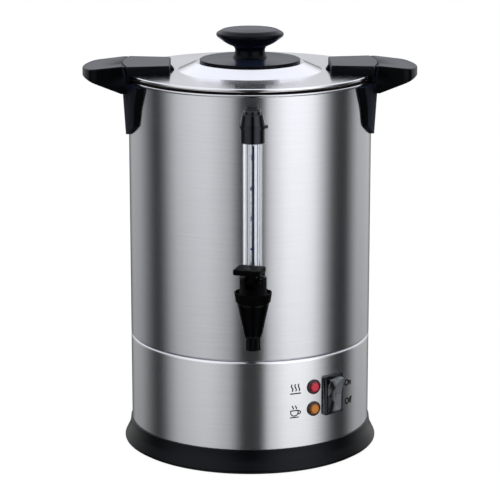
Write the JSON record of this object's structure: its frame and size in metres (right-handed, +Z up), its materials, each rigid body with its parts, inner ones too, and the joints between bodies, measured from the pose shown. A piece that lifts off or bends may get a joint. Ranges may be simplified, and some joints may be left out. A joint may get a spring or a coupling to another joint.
{
  "type": "coffee urn",
  "caption": "Round steel percolator urn on a black base, with side handles, knobbed lid, lever tap, sight gauge, rocker switch and pilot lamps.",
  "frame": {"origin": "on the urn's axis at the level of the table it stands on", "axes": "+Z up along the urn's axis, -Y towards the tap, +X towards the right handle seen from the tap"},
  "size_m": [0.3026, 0.2947, 0.3845],
  "materials": {
    "brushed_sheet": "brushed round the axis",
    "bright_sheet": "bright rolled",
    "black_plastic": "fine satin",
    "gloss_black": "polished",
    "smoked_rocker": "polished, smoky",
    "red_lens": "polished red plastic",
    "amber_lens": "polished amber plastic",
    "lamp_white": "plain moulded",
    "zinc_fasteners": "zinc plated",
    "clear_tube": "polished",
    "silicone": "matt",
    "black_rubber": "matt",
    "spring_steel": "drawn",
    "heater_metal": "cast",
    "brass_contacts": "rolled",
    "wire_cover": "matt"
  },
  "bodies": {
    "base": {"base_ring": "black_plastic", "base_shell": "brushed_sheet", "boil_thermostat": "heater_metal", "bottom_plate": "bright_sheet", "bottom_screws": "zinc_fasteners", "foot_ring": "black_rubber", "frame_nuts": "zinc_fasteners", "gauge_cap": "black_plastic", "gauge_clip": "black_plastic", "gauge_clip_nut": "zinc_fasteners", "gauge_clip_screw": "zinc_fasteners", "gauge_lower_seal": "silicone", "gauge_plug": "gloss_black", "gauge_tube": "clear_tube", "handle_left": "black_plastic", "handle_right": "black_plastic", "handle_screws": "zinc_fasteners", "handle_seals": "silicone", "heater_clamp": "bright_sheet", "heating_lamp_body": "lamp_white", "heating_lamp_lens": "red_lens", "inlet_frame": "gloss_black", "inlet_nuts": "zinc_fasteners", "inlet_pins": "brass_contacts", "inlet_screws": "zinc_fasteners", "inlet_socket": "gloss_black", "internal_wiring": "wire_cover", "keep_warm_heater": "heater_metal", "lever_pin": "zinc_fasteners", "main_heater": "heater_metal", "shank_inner_seal": "silicone", "shank_nut": "black_plastic", "shank_outer_seal": "silicone", "switch_frame": "gloss_black", "switch_terminals": "brass_contacts", "tank": "brushed_sheet", "tap_body": "black_plastic", "tap_bonnet": "black_plastic", "tap_shank": "black_plastic", "tap_spring": "spring_steel", "terminal_block": "lamp_white", "thermal_cutout": "heater_metal", "tie_rods": "bright_sheet", "warm_lamp_body": "lamp_white", "warm_lamp_lens": "amber_lens"},
    "rocker": {"switch_rocker": "smoked_rocker"},
    "lid_gasket": {"lid_seal": "silicone"},
    "lid": {"lid_pan": "brushed_sheet", "lid_ear_left": "black_plastic", "lid_ear_right": "black_plastic", "ear_screws": "zinc_fasteners", "knob_base": "black_plastic", "lid_knob": "black_plastic", "knob_screw": "zinc_fasteners"},
    "stem": {"pump_stem": "bright_sheet"},
    "basket": {"coffee_basket": "bright_sheet"},
    "spreader": {"basket_spreader": "bright_sheet"},
    "lever": {"tap_lever": "black_plastic"},
    "valve": {"seat_cup": "silicone", "tap_stem": "spring_steel"}
  },
  "joints": [
    {"name": "lid_lift", "type": "slide", "parent": "base", "child": "lid_gasket", "axis": [0, 0, 1], "range_m": [0, 0.42]},
    {"name": "lid_turn", "type": "hinge", "parent": "lid_gasket", "child": "lid", "pos_m": [0, 0, 0.34], "axis": [0, 0, 1], "range_deg": [0, 12]},
    {"name": "spreader_lift", "type": "slide", "parent": "base", "child": "spreader", "axis": [0, 0, 1], "range_m": [0, 0.378]},
    {"name": "basket_lift", "type": "slide", "parent": "base", "child": "basket", "axis": [0, 0, 1], "range_m": [0, 0.336]},
    {"name": "stem_lift", "type": "slide", "parent": "base", "child": "stem", "axis": [0, 0, 1], "range_m": [0, 0.252]},
    {"name": "lever_press", "type": "hinge", "parent": "base", "child": "lever", "pos_m": [-0.00216, -0.16066, 0.1885], "axis": [0.9511, -0.309, 0], "range_deg": [0, 35]},
    {"name": "valve_lift", "type": "slide", "parent": "base", "child": "valve", "axis": [0, 0, 1], "range_m": [0, 0.004], "stiffness_N_per_m": 60, "deforming": ["tap_spring"]},
    {"name": "rocker_tilt", "type": "hinge", "parent": "base", "child": "rocker", "pos_m": [0.07246, -0.08277, 0.0655], "axis": [-0.7524, -0.6587, 0], "range_deg": [0, 12]}
  ],
  "couplings": [
    {"joint": "spreader_lift", "follows": "lid_lift", "ratio": 0.9},
    {"joint": "basket_lift", "follows": "lid_lift", "ratio": 0.8},
    {"joint": "stem_lift", "follows": "lid_lift", "ratio": 0.6},
    {"joint": "lever_press", "follows": "valve_lift", "rad_per_m": 152.72}
  ]
}
